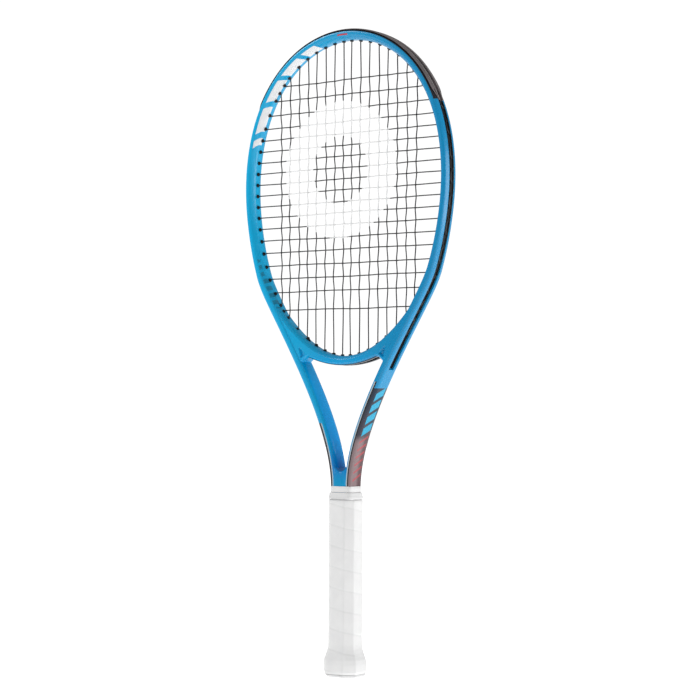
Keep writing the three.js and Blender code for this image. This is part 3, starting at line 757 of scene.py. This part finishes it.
def web_ring(depth, drop):
    outline = [(-WEB_HALF_WIDTH, SHAFT_FOOT_Z, 0.1), (WEB_HALF_WIDTH, SHAFT_FOOT_Z, 0.1),
               (WEB_TIP[0], WEB_TIP[1] - drop, 0.1), (0, WEB_NOTCH_Z - drop, 5.0),
               (-WEB_TIP[0], WEB_TIP[1] - drop, 0.1)]
    return [Vector((x, depth, z)) for x, z in rounded(outline, 5)]


def make_frame():
    limbs, laid = sweep(limb_track, stations(), limb_section)
    web = loft([web_ring(depth, drop) for depth, drop in WEB_FACES])
    tang = loft([level_ring(z, superellipse(*TANG_SECTION)) for z in TANG_LEVELS])
    points, faces = joined([limbs, web, tang])
    thing = add_mesh("painted_frame", points, faces)
    write_paint_places(thing, laid + [WEB_PAINT] * len(web[0]) + [TANG_PAINT] * len(tang[0]))
    face_outwards(thing)
    dress(thing, LACQUER)
    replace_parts(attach(thing, BODY), "frame")


def bridge_low(x):
    """The lower edge of the bridge: its arch, a rounded corner, then a line buried in the arm."""
    reach = abs(x)
    if reach <= BRIDGE_CORNER:
        return bridge_under(reach)
    corner = bridge_under(BRIDGE_CORNER)
    drop = BRIDGE_DROP[1] * smoothstep(reach, BRIDGE_CORNER, BRIDGE_DROP[0])
    rise = BRIDGE_RISE[1] * smoothstep(reach, BRIDGE_RISE[0], BRIDGE_BURIED[0])
    return corner - drop + rise + BRIDGE_BURIED[1] * max(0.0, reach - BRIDGE_BURIED[0])


def pocket_depth(x, z):
    """How deep the triangular recess at the foot of each gusset is at a place on the bridge's face."""
    inside = math.inf
    for (x0, z0), (x1, z1) in zip(POCKET, POCKET[1:] + POCKET[:1]):
        side = (x1 - x0) * (z - z0) - (z1 - z0) * (abs(x) - x0)
        inside = min(inside, side / math.dist((x0, z0), (x1, z1)))
    return POCKET_DEPTH * smoothstep(inside, 0.0, 1.0)


# Points of the bridge this close to its lower edge are coloured navy along the underside.
UNDERSIDE = 1.5
UNDER_PAINT = 9.0
FACE_PAINT = -4.0
BRIDGE_STATION = 0.6
FACE_POINTS = 24


def bridge_ring(x):
    low, high = bridge_low(x), bridge_top(x)
    height = high - low
    groove = BRIDGE_GROOVE if abs(x) < THROAT_STRIP_REACH + 0.3 else 0.0
    face_low, face_high = low + min(2.4, height * 0.3), high - min(4.0, height * 0.42)
    face_heights = spaced(face_low + 0.3, face_high - 0.3, FACE_POINTS)
    face = [(z, BRIDGE_DEPTH - pocket_depth(x, z), 0) for z in face_heights]
    half = [
        (low + groove, GROOVE_HALF - 0.05, 0.3),
        (low, GROOVE_HALF, 0.25),
        (low, BRIDGE_DEPTH - 2.2, 0.9),
        (face_low, BRIDGE_DEPTH, 0.6),
        *face,
        (face_high, BRIDGE_DEPTH, 0.6),
        (high - min(1.6, height * 0.2), BRIDGE_DEPTH - 2.0, 1.0),
        (high, 4.4, 1.8),
    ]
    return rounded(mirrored(half))


def make_bridge():
    ends = [THROAT_STRIP_REACH + 0.2, THROAT_STRIP_REACH + 0.4]
    half = sorted([float(x) for x in range(1, int(BRIDGE_REACH) + 1)] + ends)
    rings = []
    laid = []
    for x in [-value for value in reversed(half)] + [0.0] + half:
        ring = bridge_ring(x)
        rings.append([Vector((x, depth, z)) for z, depth in ring])
        under = bridge_low(x) + UNDERSIDE
        laid += [(BRIDGE_STATION, UNDER_PAINT if z < under and abs(x) < BRIDGE_CORNER else FACE_PAINT)
                 for z, depth in ring]
    points, faces = loft(rings)
    thing = add_mesh("painted_bridge", points, faces)
    write_paint_places(thing, laid)
    face_outwards(thing)
    dress(thing, LACQUER)
    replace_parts(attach(thing, BODY), "throat_bridge")


# ---------------------------------------------------------------- grommet strips

STRIP_OUTLINE = [(2.3, 3.9, 0.2), (4.0, 3.9, 0.3), (4.0, 2.9, 0.3), (2.9, 2.9, 0.2)]
BUMPER_OUTLINE = [(2.3, 3.9, 0.2), (4.5, 3.9, 0.2), (4.5, 4.6, 0.2), (3.5, 8.4, 0.4), (4.1, 9.1, 0.5),
                  (5.2, 6.5, 0.5), (5.2, 6.1, 0.15), (4.9, 5.9, 0.15), (4.9, 5.5, 0.15), (5.3, 5.3, 0.15),
                  (5.3, 4.8, 0.15), (5.0, 4.6, 0.15), (5.0, 4.2, 0.15), (5.4, 4.0, 0.15), (5.4, 2.9, 0.4),
                  (2.9, 2.9, 0.2)]
BUMPER_ROOT = 4.6
BUMPER_TAPER = 0.03
BARREL_SIDES = 20


def tube_rings(start, end, profile, sides=BARREL_SIDES):
    """Rings round the line from start to end; profile is a list of (share of the way, radius)."""
    along = (end - start).normalized()
    across = along.orthogonal().normalized()
    aside = along.cross(across)
    turns = [2 * math.pi * index / sides for index in range(sides)]
    spokes = [across * math.cos(turn) + aside * math.sin(turn) for turn in turns]
    return [[start.lerp(end, share) + spoke * radius for spoke in spokes] for share, radius in profile]


def barrel(hole):
    """A hollow grommet barrel with a rounded lip, from the strip to just inside the hoop."""
    start = hole.exit - hole.inward() * 0.4
    end = hole.mouth - hole.inward() * STRING_BEND
    tip = 0.6 / (end - start).length
    profile = [(0, BARREL_RADIUS), (1 - tip, BARREL_RADIUS), (1 - 0.4 * tip, BARREL_RADIUS - 0.1),
               (1, BARREL_RADIUS - 0.45), (1, BARREL_BORE + 0.15), (1 - tip, BARREL_BORE), (0, BARREL_BORE)]
    return loft(tube_rings(start, end, profile), closed=True)


def plain_section(place):
    return STRIP_OUTLINE


def bumper_section(place):
    """The bumper's flaps narrow to nothing over the last few millimetres of each end."""
    room = smoothstep(BUMPER_END - abs(place), 0.0, BUMPER_TAPER)
    section = []
    for out, depth, radius in BUMPER_OUTLINE:
        if depth > BUMPER_ROOT:
            reach = mix(BUMPER_ROOT, depth, max(room, 0.04))
            section.append((mix(BUMPER_ROOT, out, room), reach, radius * max(room, 0.2)))
        else:
            section.append((out, depth, radius))
    return section


def make_strip(name, node, track, section_at, places, nodes):
    holes = [hole for hole in every_hole if hole.track is track and places[0] < hole.place < places[-1]]
    strip, laid = sweep(track, places, lambda place: rounded(mirrored(section_at(place))))
    barrels = joined([barrel(hole) for hole in holes])
    points, faces = joined([strip, barrels])
    thing = add_mesh(name, points, faces)
    write_paint_places(thing, laid + [BARREL_PAINT] * len(barrels[0]))
    face_outwards(thing)
    dress(thing, nodes)
    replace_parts(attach(thing, BODY), node)


# ---------------------------------------------------------------- strings

def wander(index, along, size):
    """A small sideways drift of a string, nothing at its ends."""
    return size * math.sin(math.pi * along) * (
        0.6 * math.sin(2.3 * index + 5.1 * along) + 0.4 * math.sin(5.7 * index + 11.0 * along))


right_lines = list(zip(MAIN_X, main_heads, main_feet))
main_lines = [(-x, head.flipped(), foot.flipped()) for x, head, foot in reversed(right_lines)] + right_lines
WEAVE_STEPS = 6


def woven(start, end, crossings, index, size):
    """Points from start to end in a smooth wave through the crossings, given as (share of the way, depth)."""
    knots = [(0.0, 0.0)] + crossings + [(1.0, 0.0)]
    sideways = (end - start).cross(Vector((0, 1, 0))).normalized()
    points = []
    for (share, depth), (next_share, next_depth) in zip(knots, knots[1:]):
        for step in range(WEAVE_STEPS):
            t = step / WEAVE_STEPS
            at = mix(share, next_share, t)
            wave = mix(depth, next_depth, (1 - math.cos(math.pi * t)) / 2)
            points.append(start.lerp(end, at) + sideways * wander(index, at, size) + Vector((0, wave, 0)))
    return points + [end]


def meets(x, head, foot, z, end):
    return abs(x) < end.mouth.x - 2 and foot.mouth.z + 2 < z < head.mouth.z - 2


def depth_of(main_index, cross_index):
    return -STRING_WAVE if (main_index + cross_index) % 2 == 0 else STRING_WAVE


def main_run(main_index):
    x, head, foot = main_lines[main_index]
    length = head.mouth.z - foot.mouth.z
    crossings = [((head.mouth.z - z) / length, depth_of(main_index, cross_index))
                 for cross_index, (z, end) in enumerate(zip(cross_z, cross_ends))
                 if meets(x, head, foot, z, end)]
    return [head.exit] + woven(head.mouth, foot.mouth, crossings, main_index, 0.9) + [foot.exit]


def cross_run(cross_index):
    z, right = cross_z[cross_index], cross_ends[cross_index]
    left = right.flipped()
    width = right.mouth.x - left.mouth.x
    crossings = [((x - left.mouth.x) / width, -depth_of(main_index, cross_index))
                 for main_index, (x, head, foot) in enumerate(main_lines) if meets(x, head, foot, z, right)]
    return [left.exit] + woven(left.mouth, right.mouth, crossings, cross_index + 40, 0.6) + [right.exit]


def channel_run(first, second, depth):
    """Along the outer channel between two holes, without the holes themselves."""
    count = max(3, int((first.exit - second.exit).length / 3))
    shares = [(index + 1) / (count + 1) for index in range(count)]
    return [on_track(first.track, mix(first.place, second.place, share), STRING_CHANNEL, depth)
            for share in shares]


# A string's end stops this share of the way to the next hole.
TAIL_SHARE = 0.3


def tail(hole, towards, depth):
    return on_track(hole.track, mix(hole.place, towards.place, TAIL_SHARE), STRING_CHANNEL, depth)


def string_mesh(name, node, route):
    """A round string along a route of points in millimetres."""
    curve = bpy.data.curves.new(name, "CURVE")
    curve.dimensions = "3D"
    curve.bevel_depth = STRING_RADIUS * MM
    curve.bevel_resolution = 2
    curve.use_fill_caps = True
    spline = curve.splines.new("POLY")
    spline.points.add(len(route) - 1)
    for point, place in zip(spline.points, route):
        point.co = (*(place * MM), 1)
    source = placed(name + "_line", curve)
    bpy.context.view_layer.update()
    mesh = bpy.data.meshes.new_from_object(source.evaluated_get(bpy.context.evaluated_depsgraph_get()))
    bpy.data.objects.remove(source)
    thing = placed(name, mesh)
    mesh.shade_smooth()
    dress(thing, STRING_COAT)
    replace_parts(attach(thing, BODY), node)


def make_strings():
    first, last = main_lines[0], main_lines[-1]
    route = [tail(first[2], cross_ends[-2].flipped(), STRING_SIDESTEP)]
    for index, (_, head, foot) in enumerate(main_lines):
        upward = index % 2 == 0
        run = main_run(index)
        route += run[::-1] if upward else run
        if index + 1 < len(main_lines):
            after = main_lines[index + 1]
            ends = (head, after[1]) if upward else (foot, after[2])
            route += channel_run(*ends, STRING_SIDESTEP)
    route.append(tail(last[2], cross_ends[-2], STRING_SIDESTEP))
    string_mesh("main_string_round", "main_string", route)

    route = [tail(cross_ends[0].flipped(), main_heads[-2].flipped(), -STRING_SIDESTEP)]
    for index, right in enumerate(cross_ends):
        rightward = index % 2 == 0
        run = cross_run(index)
        route += run if rightward else run[::-1]
        if index + 1 < len(cross_ends):
            after = cross_ends[index + 1]
            ends = (right, after) if rightward else (right.flipped(), after.flipped())
            route += channel_run(*ends, -STRING_SIDESTEP)
    route.append(tail(cross_ends[-1], main_feet[-2], -STRING_SIDESTEP))
    string_mesh("cross_string_round", "cross_string", route)


# ---------------------------------------------------------------- grip, collar and tape

# Height of the wrapped surface above the plain octagon, up the flare of the butt.
FLARE = [(0.0, 4.2), (7.0, 4.7), (13.0, 4.75), (18.0, 4.1), (22.0, 2.7), (26.0, 1.3), (30.0, 0.4),
         (34.0, 0.0)]
WRAP_ENDS = (3.1, 187.0)
WRAP_RING_GAP = 0.7
WRAP_LIFT = 0.2
WRAP_STEP = 0.15
WRAP_PITCH = 22.0
WRAP_CORNER = 1.2
SEAM_WIDTH = 0.7
SEAM_DEPTH = 0.2
WRAP_CROWN = 0.12

# The length and depth of the tuck at each end of the wrap.
FOOT_TUCK = (2.6, 1.2)
TOP_TUCK = (1.2, 0.6)


def flare(z):
    for (low, grow), (high, next_grow) in zip(FLARE, FLARE[1:]):
        if z <= high:
            t = smoothstep(z, low, high) * 0.4 + (z - low) / (high - low) * 0.6
            return mix(grow, next_grow, t)
    return 0.0


def octagon(grow, corner, steps=6):
    slant = grow * math.tan(math.pi / 8)
    flat_x, half_y = GRIP_FLAT_X + slant, GRIP_HALF_Y + grow
    half_x, flat_y = GRIP_HALF_X + grow, GRIP_FLAT_Y + slant
    corners = [(half_x, flat_y), (flat_x, half_y), (-flat_x, half_y), (-half_x, flat_y),
               (-half_x, -flat_y), (-flat_x, -half_y), (flat_x, -half_y), (half_x, -flat_y)]
    return rounded([(x, y, corner) for x, y in corners], steps)


def densified(outline, per_side=5):
    """The outline with extra points on its long sides, so that the spiral seam can cross them."""
    result = []
    for index, (x, y) in enumerate(outline):
        after = outline[(index + 1) % len(outline)]
        gap = math.dist((x, y), after)
        count = per_side if gap > 2 else 1
        result += [(mix(x, after[0], step / count), mix(y, after[1], step / count)) for step in range(count)]
    return result


def seam_shape(z, angle):
    """The wrap's spiral at a place: seam and crown, 0 to 1, and the step of the lap in millimetres."""
    turn = z / WRAP_PITCH + angle / (2 * math.pi)
    phase = (turn - math.floor(turn)) * WRAP_PITCH
    nearest = min(phase, WRAP_PITCH - phase)
    seam = math.exp(-(nearest / SEAM_WIDTH) ** 2)
    crown = math.sin(math.pi * phase / WRAP_PITCH)
    step = WRAP_STEP * (1 - phase / WRAP_PITCH)
    return seam, crown, step


def make_grip():
    low, high = WRAP_ENDS
    count = int((high - low) / WRAP_RING_GAP)
    rings = []
    seams = []
    for z in spaced(low, high, count):
        ring = []
        edge = TOP_TUCK[1] * smoothstep(z, high - TOP_TUCK[0], high)
        foot = FOOT_TUCK[1] * (1 - smoothstep(z, low, low + FOOT_TUCK[0]))
        for x, y in densified(octagon(flare(z), WRAP_CORNER)):
            angle = math.atan2(y, x)
            seam, crown, step = seam_shape(z, angle)
            push = WRAP_CROWN * crown + step - SEAM_DEPTH * seam + WRAP_LIFT - edge - foot
            reach = math.hypot(x, y)
            ring.append(Vector((x + x / reach * push, y + y / reach * push, z)))
            seams.append(seam)
        rings.append(ring)
    points, faces = loft(rings)
    thing = add_mesh("grip_wrap", points, faces, 60.0)
    write_attribute(thing, "seam", seams)
    face_outwards(thing)
    dress(thing, WRAP)
    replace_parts(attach(thing, BODY), "base_grip")


SLEEVE_SQUARENESS = 5
SLEEVE_BORE = (26.8, 21.4, 7)


def make_sleeve(name, node, levels, nodes):
    """A closed band whose bore clears the shaft: levels are (z, width, depth) up its outside."""
    outside = [level_ring(z, superellipse(width, depth, SLEEVE_SQUARENESS)) for z, width, depth in levels]
    bore = [level_ring(z, superellipse(*SLEEVE_BORE)) for z in (levels[-1][0], levels[0][0])]
    points, faces = loft(outside + bore, closed=True)
    thing = add_mesh(name, points, faces, 50.0)
    face_outwards(thing)
    dress(thing, nodes)
    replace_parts(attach(thing, BODY), node)


def make_collar_and_tape():
    collar = [(187.3, 31.2, 26.8), (187.8, 31.7, 27.3), (190.6, 31.6, 27.2), (191.2, 31.0, 26.5),
              (191.8, 30.7, 26.2), (194.2, 30.3, 25.7), (194.8, 29.7, 25.0)]
    make_sleeve("collar_band", "grip_collar", collar, RUBBER)
    tape = [(195.1, 28.3, 23.1), (195.4, 28.5, 23.3), (200.9, 28.2, 23.0), (201.4, 27.8, 22.6)]
    make_sleeve("tape_band", "finishing_tape", tape, VINYL)


# ---------------------------------------------------------------- plain CAD pieces that stay

def dress_cad_nodes():
    looks = {
        "handle_pallet_front": FOAM,
        "handle_pallet_back": FOAM,
        "butt_cap": CAP_PLASTIC,
        "butt_door": CAP_PLASTIC,
        "door_hinge_pin": STEEL,
        "end_badge": BADGE_PLASTIC,
        "cap_staple_front": STEEL,
        "cap_staple_back": STEEL,
        "wrap_staple": STEEL,
    }
    for name, nodes in looks.items():
        dress(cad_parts[name], nodes)


# ---------------------------------------------------------------- stage, lights and camera

FLOOR_DROP = 0.045
FLOOR_LIGHT = 0.65
WORLD_LIGHT = 0.27
SEEN_LIGHT = 1.05


def white_to_camera(tree, light):
    """A strength that is white where it is seen directly, and the given light elsewhere."""
    path = tree.nodes.new("ShaderNodeLightPath")
    strength = tree.nodes.new("ShaderNodeMapRange")
    strength.inputs["To Min"].default_value = light
    strength.inputs["To Max"].default_value = SEEN_LIGHT
    tree.links.new(path.outputs["Is Camera Ray"], strength.inputs["Value"])
    return strength.outputs[0]


def make_floor():
    size = 12.0
    points = [(-size, -size, 0), (size, -size, 0), (size, size, 0), (-size, size, 0)]
    mesh = bpy.data.meshes.new("floor")
    mesh.from_pydata(points, [], [(0, 1, 2, 3)])
    floor = placed("floor", mesh)
    floor.location.z = cad_low.z - FLOOR_DROP
    nodes = Nodes("floor_paint", (0.9, 0.9, 0.9), 0.9)
    nodes.colour(nodes.blend(nodes.ramp(nodes.noise(3, 2), 0.3, 0.7), (0.90, 0.90, 0.90), (0.92, 0.92, 0.92)))
    nodes.shader.inputs["Emission Color"].default_value = (1, 1, 1, 1)
    nodes.put(nodes.shader.inputs["Emission Strength"], white_to_camera(nodes.tree, FLOOR_LIGHT))
    nodes.shader.inputs["Specular IOR Level"].default_value = 0.0
    dress(floor, nodes)


def make_world():
    world = bpy.data.worlds.new("studio")
    bpy.context.scene.world = world
    world.use_nodes = True
    tree = world.node_tree
    background = tree.nodes["Background"]
    background.inputs["Color"].default_value = (1, 1, 1, 1)
    tree.links.new(white_to_camera(tree, WORLD_LIGHT), background.inputs["Strength"])


def make_light(name, azimuth, height, distance, size, power):
    """A soft box aimed at the racket's middle; its azimuth is in degrees from the front towards +X."""
    light = bpy.data.lights.new(name, "AREA")
    light.shape = "RECTANGLE"
    light.size, light.size_y = size
    light.energy = power
    thing = placed(name, light)
    turn = math.radians(azimuth)
    middle = (cad_low + cad_high) / 2
    thing.location = Vector((math.sin(turn) * distance, -math.cos(turn) * distance, height))
    thing.rotation_euler = (middle - thing.location).to_track_quat("-Z", "Y").to_euler()
    thing.visible_camera = False


CAMERA_AZIMUTH = 36.0
CAMERA_DISTANCE = 2.08
CAMERA_HEIGHT = 0.283
CAMERA_ROLL = -0.27
CAMERA_LENS = 100.77
CAMERA_SHIFT = (0.0054, 0.0846)


def make_camera():
    camera = bpy.data.cameras.new("camera")
    camera.sensor_width = 36.0
    camera.lens = CAMERA_LENS
    camera.shift_x, camera.shift_y = CAMERA_SHIFT
    camera.clip_start = 0.01
    thing = placed("camera", camera)
    turn = math.radians(CAMERA_AZIMUTH)
    back = Vector((math.sin(turn), -math.cos(turn), 0))
    thing.location = back * CAMERA_DISTANCE + Vector((0, 0, CAMERA_HEIGHT))
    thing.rotation_euler = (math.radians(90), math.radians(CAMERA_ROLL), turn)
    bpy.context.scene.camera = thing


# ---------------------------------------------------------------- build

make_camera()
make_frame()
make_bridge()
make_strip("bumper_strip", "bumper_guard", limb_track, bumper_section,
           spaced(-BUMPER_END, BUMPER_END, 161), SHEEN_NYLON)
make_strip("side_strip_right", "side_grommets_right", limb_track, plain_section,
           spaced(*SIDE_STRIP, 101), NYLON)
make_strip("side_strip_left", "side_grommets_left", limb_track, plain_section,
           spaced(-SIDE_STRIP[1], -SIDE_STRIP[0], 101), NYLON)
make_strip("throat_strip", "throat_grommets", bridge_track, plain_section,
           spaced(-THROAT_STRIP_REACH, THROAT_STRIP_REACH, 48), NYLON)
make_strings()
make_grip()
make_collar_and_tape()
dress_cad_nodes()
make_floor()
make_world()
make_light("left_box", -52, 1.9, 1.9, (1.2, 1.2), 28)
make_light("right_box", 106, 0.55, 1.8, (1.4, 0.9), 15)
make_light("top_box", 60, 2.4, 1.4, (1.4, 1.4), 2)
bpy.context.scene.view_settings.view_transform = "Standard"
